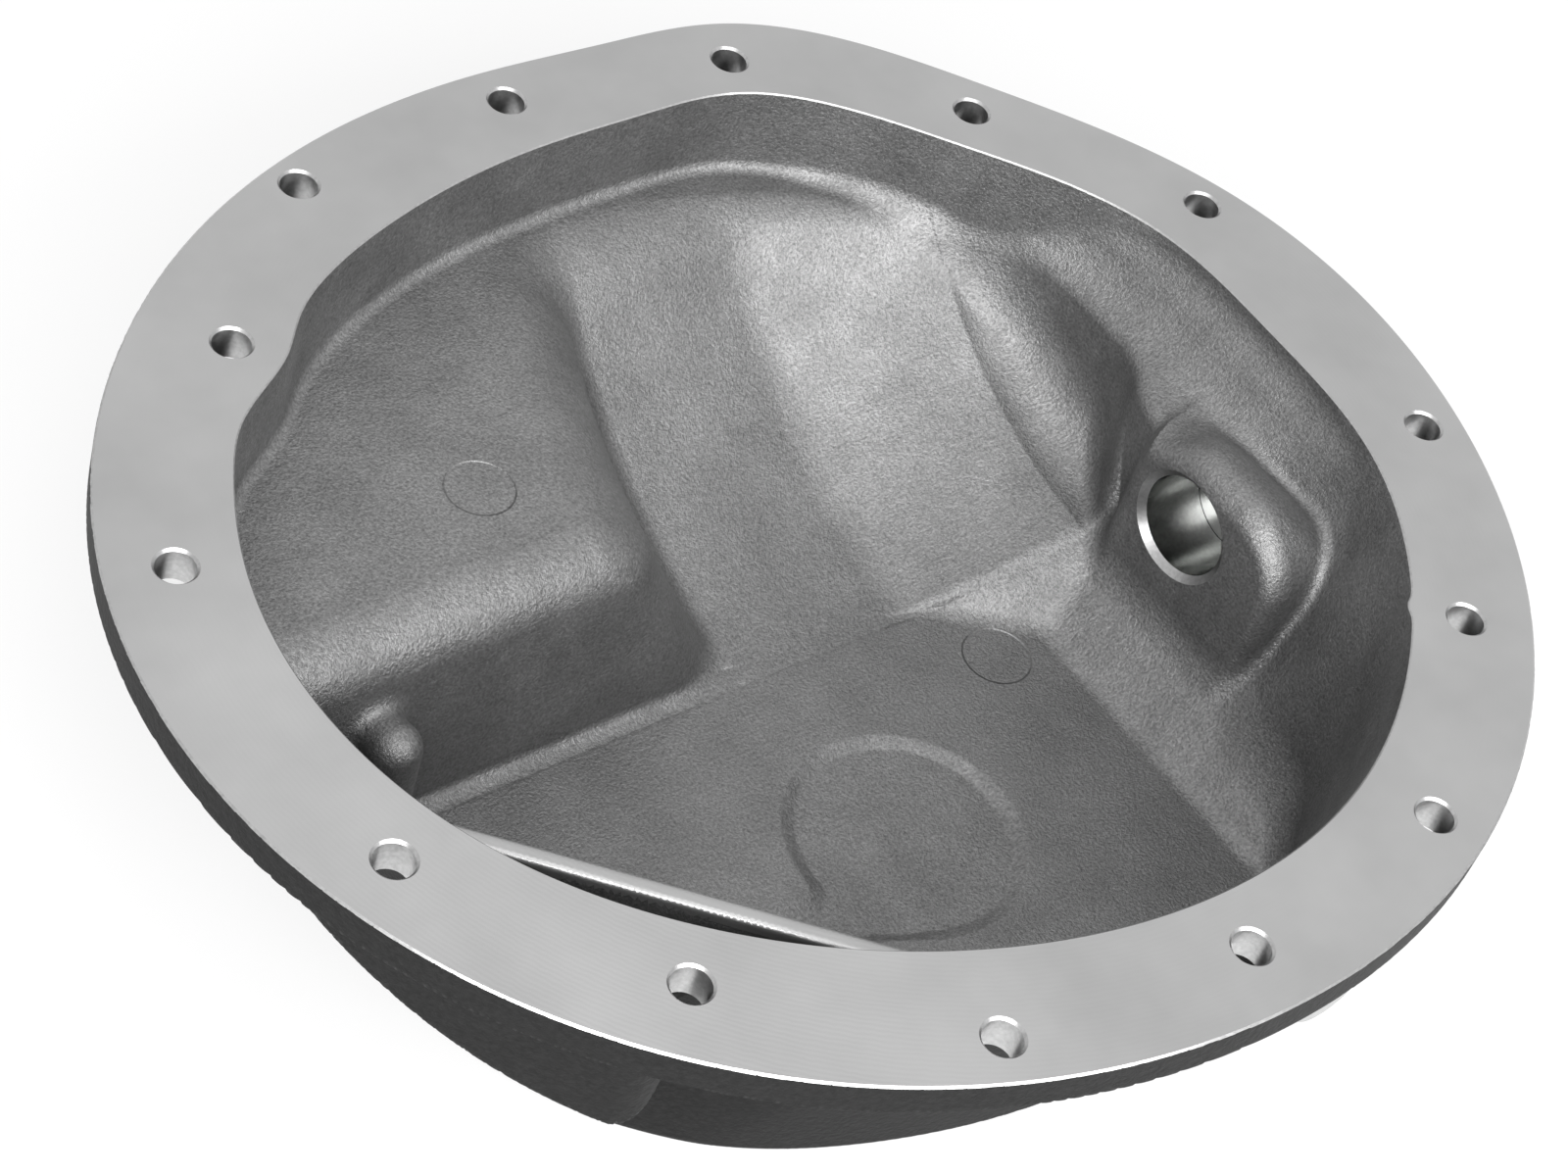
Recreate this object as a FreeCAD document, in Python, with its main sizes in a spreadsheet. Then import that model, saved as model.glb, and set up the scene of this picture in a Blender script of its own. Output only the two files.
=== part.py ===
"""Cast differential cover, lying on its back with the machined flange face up.

The origin is the centre of the bolt pattern on the flange face. +X points to the
vehicle's right, +Y to the vehicle's top and +Z out of the flange face, so the
cast body is all below Z = 0. Lengths are millimetres.
"""
import FreeCAD, Part
import math
import os
from FreeCAD import Placement, Rotation, Vector

# Every driving size: its name, its value and what it is.
SIZES = [
    ("bolt_a_y", 140.75, "bolts on the centre line, from the middle"),
    ("bolt_b_x", 63.5, "second bolts, sideways"),
    ("bolt_b_y", 133.5, "second bolts, up and down"),
    ("bolt_c_x", 113.0, "corner bolts, sideways"),
    ("bolt_c_y", 94.0, "corner bolts, up and down"),
    ("bolt_d_x", 149.25, "side bolts, sideways"),
    ("bolt_d_y", 42.25, "side bolts, up and down"),
    ("bolt_e_x", 104.75, "odd bolt at the upper left, sideways"),
    ("bolt_e_y", 94.5, "odd bolt at the upper left, upwards"),
    ("bolt_hole", 9.0, "bolt hole diameter"),
    ("spot_face", 17.0, "diameter cleared under each bolt head"),
    ("flange_thickness", 9.0, "thickness of the flange plate"),
    ("flange_chamfer", 0.8, "chamfer round the flange face"),
    ("wall", 6.5, "thickness of the cast wall"),
    ("rim_right_side", 10.7, "metal outside the right upper side bolt"),
    ("rim_right_corner", 12.9, "metal outside the right upper corner bolt"),
    ("rim_right_top", 14.7, "metal outside the right top bolt"),
    ("rim_top", 11.65, "metal outside the top centre bolt"),
    ("rim_left_top", 8.7, "metal outside the left top bolt"),
    ("rim_odd", 22.4, "metal outside the odd bolt"),
    ("rim_left_side", 16.2, "metal outside the left upper side bolt"),
    ("rim_left_low", 16.0, "metal outside the left lower side bolt"),
    ("rim_left_foot", 18.3, "metal outside the left lower corner bolt"),
    ("rim_left_base", 11.3, "metal outside the left bottom bolt"),
    ("rim_base", 16.25, "metal outside the bottom centre bolt"),
    ("rim_right_base", 12.6, "metal outside the right bottom bolt"),
    ("rim_right_foot", 17.0, "metal outside the right lower corner bolt"),
    ("rim_right_low", 11.5, "metal outside the right lower side bolt"),
    ("rim_flat_x", 37.6, "point on the straight top edge, sideways"),
    ("rim_flat_y", 150.8, "point on the straight top edge, upwards"),
    ("land_right_side", 18.4, "sealing land inside the right upper side bolt"),
    ("land_right_corner", 14.7, "sealing land inside the right upper corner bolt"),
    ("land_right_top", 12.8, "sealing land inside the right top bolt"),
    ("land_top", 16.95, "sealing land inside the top centre bolt"),
    ("land_left_top", 22.5, "sealing land inside the left top bolt"),
    ("land_odd", 12.4, "sealing land inside the odd bolt"),
    ("land_left_side", 14.5, "sealing land inside the left upper side bolt"),
    ("land_left_low", 15.1, "sealing land inside the left lower side bolt"),
    ("land_left_foot", 14.9, "sealing land inside the left lower corner bolt"),
    ("land_left_base", 21.5, "sealing land inside the left bottom bolt"),
    ("land_base", 13.95, "sealing land inside the bottom centre bolt"),
    ("land_right_base", 17.1, "sealing land inside the right bottom bolt"),
    ("land_right_foot", 13.1, "sealing land inside the right lower corner bolt"),
    ("land_right_low", 18.8, "sealing land inside the right lower side bolt"),
    ("mouth_flat_x", 31.0, "point on the straight top of the opening, sideways"),
    ("mouth_flat_y", 124.3, "point on the straight top of the opening, upwards"),
    ("mouth_corner_x", 81.0, "upper right corner of the opening, sideways"),
    ("mouth_corner_y", 107.5, "upper right corner of the opening, upwards"),
    ("mouth_waist_inset", 15.25, "right edge of the opening between the side bolts, inside them"),
    ("notch_above_x", 73.5, "opening above the odd bolt, sideways"),
    ("notch_above_y", 104.9, "opening above the odd bolt, upwards"),
    ("notch_below_x", 115.5, "opening below the odd bolt, sideways"),
    ("notch_below_y", 72.2, "opening below the odd bolt, upwards"),
    ("mouth_depth", 10.0, "depth of the straight wall all round the opening"),
    ("tray_depth", 24.0, "depth of the flat upper tray"),
    ("slope_start_inset", 15.75, "top of the tray's right slope, inside the side bolts"),
    ("slope_end_inset", 30.75, "foot of the tray's right slope, inside the side bolts"),
    ("gear_axis_height", 49.7, "gear axis above the flange face"),
    ("gear_radius", 130.5, "inside radius of the hump that clears the ring gear"),
    ("gear_left_x", -2.4, "left end of the full radius"),
    ("gear_crease_x", 52.6, "crease where the radius starts to fall"),
    ("gear_cone_inset", 48.25, "right end of the falling radius, inside the side bolts"),
    ("gear_cone_radius", 112.2, "radius at the end of the cone"),
    ("gear_end_inset", 31.25, "end wall of the hump, inside the side bolts"),
    ("gear_end_radius", 98.0, "radius where the end wall starts"),
    ("gear_shoulder_x", -36.0, "left shoulder, where the hump meets the tray floor"),
    ("floor_depth", 80.0, "depth of the flat sump floor"),
    ("floor_edge_inset", 65.55, "right edge of the sump floor, inside the side bolts"),
    ("floor_top_y", 14.6, "upper edge of the sump floor"),
    ("shoulder_top_y", 20.8, "lower edge of the tray floor"),
    ("side_wall_inset", 44.25, "right wall of the sump, inside the side bolts"),
    ("strip_top_depth", 61.5, "depth where the sloping strip meets the right wall"),
    ("facet_corner_y", -9.0, "lower end of the facet on the floor's right edge"),
    ("facet_top_inset", 89.25, "upper end of the facet, inside the side bolts"),
    ("facet_top_y", 9.0, "upper end of the facet, upwards"),
    ("facet_rise_depth", 62.5, "depth of the facet's high corner"),
    ("facet_rise_y", 1.0, "height of the facet's high corner"),
    ("corner_low_y", -1.5, "where the slanted corner meets the boss face"),
    ("corner_high_y", 22.0, "where the slanted corner meets the end wall"),
    ("chord_reach", 117.5, "straight lower left wall, from the middle"),
    ("chord_angle", 223.6, "direction of the straight lower left wall, degrees"),
    ("floor_inset_left", 22.0, "sump floor inside the opening, left"),
    ("floor_inset_low", 14.0, "sump floor inside the opening, bottom"),
    ("floor_inset_right", 8.5, "sump floor inside the opening, right"),
    ("skirt_inset", 2.5, "skirt inside the flange edge"),
    ("skirt_depth", 33.3, "greatest depth of the skirt"),
    ("skirt_end_angle", 221.8, "direction of the skirt's end face, degrees"),
    ("skirt_low_x", -129.0, "point on the slanted underside of the skirt, sideways"),
    ("skirt_low_y", -100.0, "point on the slanted underside of the skirt, upwards"),
    ("skirt_low_depth", 32.2, "depth of that point"),
    ("skirt_tilt_x", 0.298, "slant of the skirt's underside, sideways"),
    ("skirt_tilt_y", 0.472, "slant of the skirt's underside, upwards"),
    ("fill_y", -21.2, "fill bore axis, height"),
    ("fill_depth", 36.4, "fill bore axis, depth"),
    ("fill_face_inset", 48.25, "inner face of the fill boss, inside the side bolts"),
    ("fill_seat_inset", 17.25, "outer face of the fill boss, inside the side bolts"),
    ("fill_bore", 26.0, "fill bore diameter"),
    ("fill_mouth", 29.8, "outer diameter of the bore's inner chamfer"),
    ("fill_chamfer", 1.6, "depth of the bore's inner chamfer"),
    ("fill_boss_radius", 24.0, "radius of the outer fill boss"),
    ("boss_low_y", -53.0, "lower side of the inner fill boss"),
    ("boss_high_y", -1.5, "upper side of the inner fill boss"),
    ("boss_top_depth", 16.0, "depth of the inner boss's crown"),
    ("boss_corner", 12.0, "corner radius of the inner boss"),
    ("boss_foot_depth", 66.0, "depth of the inner boss's foot"),
    ("boss_crown_inset", 30.25, "reach of the crown into the right slope"),
    ("drain_x", 30.0, "drain bore axis, sideways"),
    ("drain_depth", 26.0, "drain bore axis, depth"),
    ("drain_seat_inset", 0.75, "outer face of the drain boss, inside the lowest bolt"),
    ("drain_bore", 14.0, "drain bore diameter"),
    ("drain_boss_radius", 13.0, "radius of the drain boss"),
    ("thread_clearance", 0.15, "gap all round each plug's thread"),
    ("seal_thickness", 2.0, "thickness of the sealing washers"),
    ("seal_overhang", 1.5, "sealing washer beyond the plug's head"),
    ("spot_clearance", 1.0, "room round the fill plug's washer"),
    ("fill_head", 32.0, "fill plug head diameter"),
    ("fill_head_height", 8.0, "fill plug head height"),
    ("fill_thread_length", 11.0, "fill plug length inside the bore"),
    ("drain_head", 20.0, "drain plug head diameter"),
    ("drain_head_height", 6.0, "drain plug head height"),
    ("drain_thread_length", 11.0, "drain plug length inside the bore"),
    ("socket_flats", 10.0, "hexagon socket across flats"),
    ("socket_depth", 5.0, "hexagon socket depth"),
    ("cutter", 400.0, "side of the blocks that trim the shapes"),
]

doc = FreeCAD.newDocument("differential_cover")
sizes = doc.addObject("Spreadsheet::Sheet", "sizes")
for row, (alias, value, meaning) in enumerate(SIZES, start=1):
    sizes.set(f"A{row}", alias)
    sizes.set(f"B{row}", str(value))
    sizes.set(f"C{row}", meaning)
    sizes.setAlias(f"B{row}", alias)
doc.recompute()


def size(alias):
    """The number in the cell with this alias."""
    return float(sizes.get(alias))


def from_side(inset):
    """How far right something lies that keeps its distance from the side bolts."""
    return size("bolt_d_x") - size(inset)


def drain_seat_y():
    """The outer face of the drain boss, which keeps its distance from the lowest bolt."""
    return size("drain_seat_inset") - size("bolt_a_y")


def bind(thing, **formulas):
    """Tie properties of one object to cells of the sheet."""
    for name, formula in formulas.items():
        thing.setExpression(name, formula)
    return thing


# The bolts, round from the right: sideways and upwards places, rim and land.
BOLTS = [
    (1, "bolt_d_x", 1, "bolt_d_y", "rim_right_side", "land_right_side", "floor_inset_right"),
    (1, "bolt_c_x", 1, "bolt_c_y", "rim_right_corner", "land_right_corner", "floor_inset_right"),
    (1, "bolt_b_x", 1, "bolt_b_y", "rim_right_top", "land_right_top", "floor_inset_right"),
    (0, "bolt_b_x", 1, "bolt_a_y", "rim_top", "land_top", "floor_inset_right"),
    (-1, "bolt_b_x", 1, "bolt_b_y", "rim_left_top", "land_left_top", "floor_inset_left"),
    (-1, "bolt_e_x", 1, "bolt_e_y", "rim_odd", "land_odd", "floor_inset_left"),
    (-1, "bolt_d_x", 1, "bolt_d_y", "rim_left_side", "land_left_side", "floor_inset_left"),
    (-1, "bolt_d_x", -1, "bolt_d_y", "rim_left_low", "land_left_low", "floor_inset_left"),
    (-1, "bolt_c_x", -1, "bolt_c_y", "rim_left_foot", "land_left_foot", "floor_inset_low"),
    (-1, "bolt_b_x", -1, "bolt_b_y", "rim_left_base", "land_left_base", "floor_inset_low"),
    (0, "bolt_b_x", -1, "bolt_a_y", "rim_base", "land_base", "floor_inset_low"),
    (1, "bolt_b_x", -1, "bolt_b_y", "rim_right_base", "land_right_base", "floor_inset_right"),
    (1, "bolt_c_x", -1, "bolt_c_y", "rim_right_foot", "land_right_foot", "floor_inset_right"),
    (1, "bolt_d_x", -1, "bolt_d_y", "rim_right_low", "land_right_low", "floor_inset_right"),
]


def bolt_place(bolt):
    """Where a bolt's axis meets the flange face."""
    side, across, rise, upward = bolt[:4]
    return Vector(side * size(across), rise * size(upward), 0)


def moved_out(point, distance):
    """The point moved straight away from the middle."""
    return point * ((point.Length + distance) / point.Length)


def by_direction(points):
    """The points in turn round the middle, from +X towards +Y."""
    return sorted(points, key=lambda p: math.atan2(p.y, p.x) % (2 * math.pi))


def rim_points(grow):
    """Points on the outside of the flange, moved out by grow."""
    points = [moved_out(bolt_place(b), size(b[4])) for b in BOLTS]
    points.append(Vector(size("rim_flat_x"), size("rim_flat_y"), 0))
    return by_direction([moved_out(p, grow) for p in points])


def opening_points(grow):
    """Points on the edge of the opening, moved out by grow."""
    points = [moved_out(bolt_place(b), -size(b[5])) for b in BOLTS]
    points.append(Vector(size("mouth_flat_x"), size("mouth_flat_y"), 0))
    points.append(Vector(size("mouth_corner_x"), size("mouth_corner_y"), 0))
    points.append(Vector(from_side("mouth_waist_inset"), 0, 0))
    points.append(Vector(-size("notch_above_x"), size("notch_above_y"), 0))
    points.append(Vector(-size("notch_below_x"), size("notch_below_y"), 0))
    return by_direction([moved_out(p, grow) for p in points])


def sump_points(grow):
    """Points on the edge of the sump floor, moved out by grow."""
    return by_direction([moved_out(bolt_place(b), grow - size(b[5]) - size(b[6])) for b in BOLTS])


def closed_curve(name, points, level):
    """A smooth closed wire through the points, at one level."""
    curve = Part.BSplineCurve()
    curve.interpolate(Points=[Vector(p.x, p.y, level) for p in points], PeriodicFlag=True)
    wire = doc.addObject("Part::Feature", name)
    wire.Shape = Part.Wire([curve.toShape()])
    return wire


def sunk(name, outline, depth):
    """The outline carried straight down by a depth."""
    solid = doc.addObject("Part::Extrusion", name)
    solid.Base = outline
    solid.DirMode = "Custom"
    solid.Dir = Vector(0, 0, -1)
    solid.Solid = True
    return bind(solid, LengthFwd=depth)


def half_block(name, point, outward):
    """A big block whose near face passes through the point."""
    block = doc.addObject("Part::Box", name)
    bind(block, Length="sizes.cutter", Width="sizes.cutter * 2", Height="sizes.cutter * 2")
    turn = Rotation(Vector(1, 0, 0), outward)
    corner = turn.multVec(Vector(0, -size("cutter"), -size("cutter")))
    block.Placement = Placement(point + corner, turn)
    return block


def cut(name, base, tool):
    """One shape less another."""
    result = doc.addObject("Part::Cut", name)
    result.Base = base
    result.Tool = tool
    return result


def common(name, *shapes):
    """What several shapes share."""
    result = doc.addObject("Part::MultiCommon", name)
    result.Shapes = list(shapes)
    return result


def fuse(name, *shapes):
    """Several shapes as one."""
    result = doc.addObject("Part::MultiFuse", name)
    result.Shapes = list(shapes)
    return result


def upright_profile(name, corners, grow, ceiling):
    """A face in the XZ plane from its corners, widened by grow and kept below the ceiling."""
    points = [Vector(x, 0, z) for x, z in corners]
    outline = Part.makePolygon(points + points[:1])
    if grow:
        outline = outline.makeOffset2D(grow, join=2)
    reach = size("cutter")
    room = Part.makePlane(
        reach * 2, reach, Vector(-reach, 0, ceiling - reach), Vector(0, -1, 0), Vector(1, 0, 0)
    )
    face = doc.addObject("Part::Feature", name)
    face.Shape = Part.Face(outline).common(room).Faces[0]
    return face


def mouth(prefix, skin, edge):
    """The straight-walled top of the hollow."""
    return sunk(prefix + "_mouth", edge, f"sizes.mouth_depth + {skin}")


def tray(prefix, skin, grow, edge):
    """The flat upper tray, with its slope on the right and the straight wall low left."""
    whole = sunk(prefix + "_tray_block", edge, f"sizes.tray_depth + {skin}")
    run = size("slope_end_inset") - size("slope_start_inset")
    drop = size("tray_depth") - size("mouth_depth")
    outward = Vector(drop, 0, -run).normalize()
    start = Vector(from_side("slope_start_inset"), 0, -size("mouth_depth")) + outward * grow
    sloped = cut(prefix + "_tray_sloped", whole, half_block(prefix + "_slope", start, outward))
    return cut(prefix + "_tray", sloped, chord_block(prefix + "_tray_chord", grow))


def chord_block(name, grow):
    """What lies beyond the straight lower left wall."""
    angle = math.radians(size("chord_angle"))
    outward = Vector(math.cos(angle), math.sin(angle), 0)
    return half_block(name, outward * (size("chord_reach") + grow), outward)


def hump(prefix, grow, edge):
    """The turned hollow that clears the ring gear."""
    axis = size("gear_axis_height")
    radius = size("gear_radius")
    left = size("gear_left_x")
    shoulder = size("gear_shoulder_x")
    steepness = (radius - axis - size("tray_depth")) / (left - shoulder)
    corners = [
        (left - radius / steepness, axis),
        (left, axis - radius),
        (size("gear_crease_x"), axis - radius),
        (from_side("gear_cone_inset"), axis - size("gear_cone_radius")),
        (from_side("gear_end_inset"), axis - size("gear_end_radius")),
        (from_side("gear_end_inset"), axis),
    ]
    profile = upright_profile(prefix + "_hump_profile", corners, grow, axis)
    turned = doc.addObject("Part::Revolution", prefix + "_hump_turned")
    turned.Source = profile
    turned.Axis = Vector(1, 0, 0)
    turned.Base = Vector(0, 0, axis)
    turned.Solid = True
    under = sunk(prefix + "_hump_limit", edge, "sizes.floor_depth * 2")
    above_sump = half_block(prefix + "_hump_low", Vector(0, -grow, 0), Vector(0, -1, 0))
    upper = cut(prefix + "_hump_upper", common(prefix + "_hump_under", turned, under), above_sump)
    step = doc.addObject("Part::Box", prefix + "_hump_step")
    bind(step, Length="sizes.cutter", Width="sizes.cutter", Height="sizes.cutter * 2")
    reach = size("cutter")  # the hump stops where the flat sump floor begins
    step_x = from_side("facet_top_inset") - reach
    step.Placement.Base = Vector(step_x, size("floor_top_y") - reach, -reach)
    trimmed = cut(prefix + "_hump_trimmed", upper, step)
    foot = Vector(from_side("fill_face_inset"), size("corner_low_y"), 0)
    head = Vector(from_side("gear_end_inset"), size("corner_high_y"), 0)
    outward = Vector(head.y - foot.y, foot.x - head.x, 0).normalize()
    corner = half_block(prefix + "_hump_corner", foot + outward * grow, outward)
    return cut(prefix + "_hump", trimmed, corner)


def sump(prefix, grow, edge):
    """The deep flat-floored hollow below the hump."""
    floor = closed_curve(prefix + "_floor_edge", sump_points(grow), -size("floor_depth") - grow)
    walls = doc.addObject("Part::Loft", prefix + "_sump_walls")
    walls.Sections = [edge, floor]
    walls.Solid = True
    walls.Ruled = True
    far = -size("cutter") / 2
    corners = [
        (far, 0),
        (from_side("side_wall_inset"), 0),
        (from_side("side_wall_inset"), -size("strip_top_depth")),
        (from_side("floor_edge_inset"), -size("floor_depth")),
        (far, -size("floor_depth")),
    ]
    section = upright_profile(prefix + "_sump_profile", corners, grow, grow)
    along = doc.addObject("Part::Extrusion", prefix + "_sump_section")
    along.Base = section
    along.DirMode = "Custom"
    along.Dir = Vector(0, 1, 0)
    along.Solid = True
    bind(along, LengthFwd="sizes.cutter / 2", LengthRev="sizes.cutter / 2")
    inside = common(prefix + "_sump_inside", walls, along)
    rise = size("floor_depth") - size("tray_depth")
    lean = size("shoulder_top_y") - size("floor_top_y")
    upward = Vector(0, rise, -lean).normalize()
    top_start = Vector(0, size("floor_top_y"), -size("floor_depth")) + upward * grow
    below = cut(prefix + "_sump_below", inside, half_block(prefix + "_sump_top", top_start, upward))
    low = Vector(from_side("floor_edge_inset"), size("facet_corner_y"), -size("floor_depth"))
    high = Vector(from_side("facet_top_inset"), size("facet_top_y"), -size("floor_depth"))
    far_corner = Vector(from_side("gear_cone_inset"), size("facet_rise_y"), -size("facet_rise_depth"))
    facing = (far_corner - high).cross(low - high).normalize()
    facet = half_block(prefix + "_facet", low + facing * grow, facing)
    faceted = cut(prefix + "_sump_faceted", below, facet)
    return cut(prefix + "_sump", faceted, chord_block(prefix + "_sump_chord", grow))


def hollow(prefix, skin, grow):
    """The whole hollow of the cover, widened by a skin."""
    edge = closed_curve(prefix + "_edge", opening_points(grow), 0)
    return fuse(
        prefix,
        mouth(prefix, skin, edge),
        tray(prefix, skin, grow, edge),
        hump(prefix, grow, edge),
        sump(prefix, grow, edge),
    )


def flange_plate():
    """The flange, with its outside edge chamfered on the face."""
    rim = closed_curve("rim_curve", rim_points(0), 0)
    plate = sunk("flange_block", rim, "sizes.flange_thickness")
    doc.recompute()
    edge = [n for n, e in enumerate(plate.Shape.Edges, start=1) if abs(e.BoundBox.ZMin) < 0.01]
    chamfer = doc.addObject("Part::Chamfer", "flange")
    chamfer.Base = plate
    chamfer.Edges = [(n, size("flange_chamfer"), size("flange_chamfer")) for n in edge]
    return chamfer


def skirt():
    """The cast skirt below the flange at the lower left."""
    rim = closed_curve("skirt_curve", rim_points(-size("skirt_inset")), 0)
    block = sunk("skirt_block", rim, "sizes.skirt_depth")
    slant = Vector(size("skirt_tilt_x"), size("skirt_tilt_y"), -1).normalize()
    low = Vector(size("skirt_low_x"), size("skirt_low_y"), -size("skirt_low_depth"))
    slanted = cut("skirt_slanted", block, half_block("skirt_underside", low, slant))
    angle = math.radians(size("skirt_end_angle"))
    sideways = Vector(-math.sin(angle), math.cos(angle), 0)
    return cut("skirt", slanted, half_block("skirt_end", Vector(0, 0, 0), sideways))


def round_bar(name, base, direction, diameter, length):
    """A cylinder from a point along a direction."""
    bar = doc.addObject("Part::Cylinder", name)
    bar.Placement = Placement(base, Rotation(Vector(0, 0, 1), direction))
    return bind(bar, Radius=f"({diameter}) / 2", Height=length)


def fill_place(x):
    """A point on the fill bore's axis."""
    return Vector(x, size("fill_y"), -size("fill_depth"))


def drain_place(y):
    """A point on the drain bore's axis."""
    return Vector(size("drain_x"), y, -size("drain_depth"))


def inner_boss(name, foot_depth, end_inset):
    """The rounded pad round the fill bore, inside the cover."""
    low, high = size("boss_low_y"), size("boss_high_y")
    top, corner = -size("boss_top_depth"), size("boss_corner")
    face_x = from_side("fill_face_inset")
    diagonal = corner * (1 - math.sqrt(0.5))
    near = [
        Vector(face_x, low, -foot_depth),
        Vector(face_x, low, top - corner),
        Vector(face_x, low + diagonal, top - diagonal),
        Vector(face_x, low + corner, top),
        Vector(face_x, high - corner, top),
        Vector(face_x, high - diagonal, top - diagonal),
        Vector(face_x, high, top - corner),
        Vector(face_x, high, -foot_depth),
    ]
    edges = [
        Part.LineSegment(near[0], near[1]).toShape(),
        Part.Arc(near[1], near[2], near[3]).toShape(),
        Part.LineSegment(near[3], near[4]).toShape(),
        Part.Arc(near[4], near[5], near[6]).toShape(),
        Part.LineSegment(near[6], near[7]).toShape(),
        Part.LineSegment(near[7], near[0]).toShape(),
    ]
    face = doc.addObject("Part::Feature", name + "_profile")
    face.Shape = Part.Face(Part.Wire(edges))
    pad = doc.addObject("Part::Extrusion", name)
    pad.Base = face
    pad.DirMode = "Custom"
    pad.Dir = Vector(1, 0, 0)
    pad.Solid = True
    return bind(pad, LengthFwd=f"sizes.fill_face_inset - ({end_inset})")


def bolt_hole(number, bolt):
    """One bolt hole and the room for the bolt head."""
    at = bolt_place(bolt)
    hole = round_bar(f"hole_{number}", at, Vector(0, 0, -1), "sizes.bolt_hole", "sizes.cutter / 2")
    seat = at - Vector(0, 0, size("flange_thickness"))
    room = round_bar(f"head_room_{number}", seat, Vector(0, 0, -1), "sizes.spot_face", "sizes.cutter / 2")
    return [hole, room]


def bore_mouth():
    """The chamfer at the inner end of the fill bore."""
    cone = doc.addObject("Part::Cone", "fill_bore_mouth")
    mouth = fill_place(from_side("fill_face_inset"))
    cone.Placement = Placement(mouth, Rotation(Vector(0, 0, 1), Vector(1, 0, 0)))
    return bind(
        cone,
        Radius1="sizes.fill_mouth / 2",
        Radius2="sizes.fill_bore / 2",
        Height="sizes.fill_chamfer",
    )


def casting():
    """The cast cover in one piece."""
    inside = hollow("inside", "0", 0)
    outside = hollow("outside", "sizes.wall", size("wall"))
    past_wall = size("wall") / 2
    fill_boss = round_bar(
        "fill_boss",
        fill_place(from_side("side_wall_inset") + past_wall),
        Vector(1, 0, 0),
        "sizes.fill_boss_radius * 2",
        "sizes.side_wall_inset - sizes.fill_seat_inset - sizes.wall / 2",
    )
    drain_boss = round_bar(
        "drain_boss",
        drain_place(drain_seat_y()),
        Vector(0, 1, 0),
        "sizes.drain_boss_radius * 2",
        "sizes.wall * 4",
    )
    body = fuse("body", outside, flange_plate(), skirt(), fill_boss, drain_boss)
    hollowed = cut("hollowed", body, inside)
    foot = inner_boss("boss_foot", size("boss_foot_depth"), "sizes.side_wall_inset - sizes.wall / 2")
    crown = inner_boss("boss_crown", size("tray_depth") + size("wall") * 0.9, "sizes.boss_crown_inset")
    filled = fuse("filled", hollowed, foot, crown)
    fill_bore = round_bar(
        "fill_bore",
        fill_place(from_side("fill_face_inset")),
        Vector(1, 0, 0),
        "sizes.fill_bore",
        "sizes.fill_face_inset - sizes.fill_seat_inset",
    )
    fill_spot = round_bar(
        "fill_spot",
        fill_place(from_side("fill_seat_inset")),
        Vector(1, 0, 0),
        "sizes.fill_head + 2 * sizes.seal_overhang + 2 * sizes.spot_clearance",
        "sizes.cutter / 4",
    )
    drain_bore = round_bar(
        "drain_bore",
        drain_place(drain_seat_y()),
        Vector(0, 1, 0),
        "sizes.drain_bore",
        "sizes.wall * 5",
    )
    tools = [tool for n, bolt in enumerate(BOLTS, start=1) for tool in bolt_hole(n, bolt)]
    drilling = fuse("drilling", fill_bore, bore_mouth(), fill_spot, drain_bore, *tools)
    return cut("cover_casting", filled, drilling)


def plug(name, seat, outward, head, head_height, bore, thread_length):
    """A threaded plug with a round head and a hexagon socket, seated on its washer."""
    under_head = seat + outward * size("seal_thickness")
    top = round_bar(name + "_head", under_head, outward, head, head_height)
    shank = round_bar(
        name + "_shank",
        under_head,
        outward * -1,
        f"{bore} - 2 * sizes.thread_clearance",
        f"{thread_length} + sizes.seal_thickness",
    )
    socket = doc.addObject("Part::Prism", name + "_socket")
    bottom = under_head + outward * (size(head_height.split(".")[1]) - size("socket_depth"))
    socket.Placement = Placement(bottom, Rotation(Vector(0, 0, 1), outward))
    socket.Polygon = 6
    bind(socket, Circumradius="sizes.socket_flats / sqrt(3)", Height="sizes.socket_depth")
    return cut(name, fuse(name + "_solid", top, shank), socket)


def seal(name, seat, outward, head, bore):
    """The flat washer between a plug's head and its boss."""
    across = f"{head} + 2 * sizes.seal_overhang"
    disc = round_bar(name + "_disc", seat, outward, across, "sizes.seal_thickness")
    bore_through = round_bar(name + "_bore", seat, outward, bore, "sizes.seal_thickness")
    return cut(name, disc, bore_through)


fill_seat = fill_place(from_side("fill_seat_inset"))
drain_seat = drain_place(drain_seat_y())
to_right, downward = Vector(1, 0, 0), Vector(0, -1, 0)
PARTS = {
    "cover_casting": casting(),
    "fill_plug": plug(
        "fill_plug", fill_seat, to_right, "sizes.fill_head", "sizes.fill_head_height",
        "sizes.fill_bore", "sizes.fill_thread_length",
    ),
    "fill_plug_seal": seal("fill_plug_seal", fill_seat, to_right, "sizes.fill_head", "sizes.fill_bore"),
    "drain_plug": plug(
        "drain_plug", drain_seat, downward, "sizes.drain_head", "sizes.drain_head_height",
        "sizes.drain_bore", "sizes.drain_thread_length",
    ),
    "drain_plug_seal": seal("drain_plug_seal", drain_seat, downward, "sizes.drain_head", "sizes.drain_bore"),
}
doc.recompute()

for thing in doc.Objects:
    if "Invalid" in thing.State or "Error" in thing.State:
        raise RuntimeError(f"{thing.Name} was not built")
for label, thing in PARTS.items():
    thing.Label = label
    shape = thing.Shape
    if shape.isNull() or not shape.isValid() or len(shape.Solids) != 1:
        raise RuntimeError(f"{label} is not one sound solid")

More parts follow.
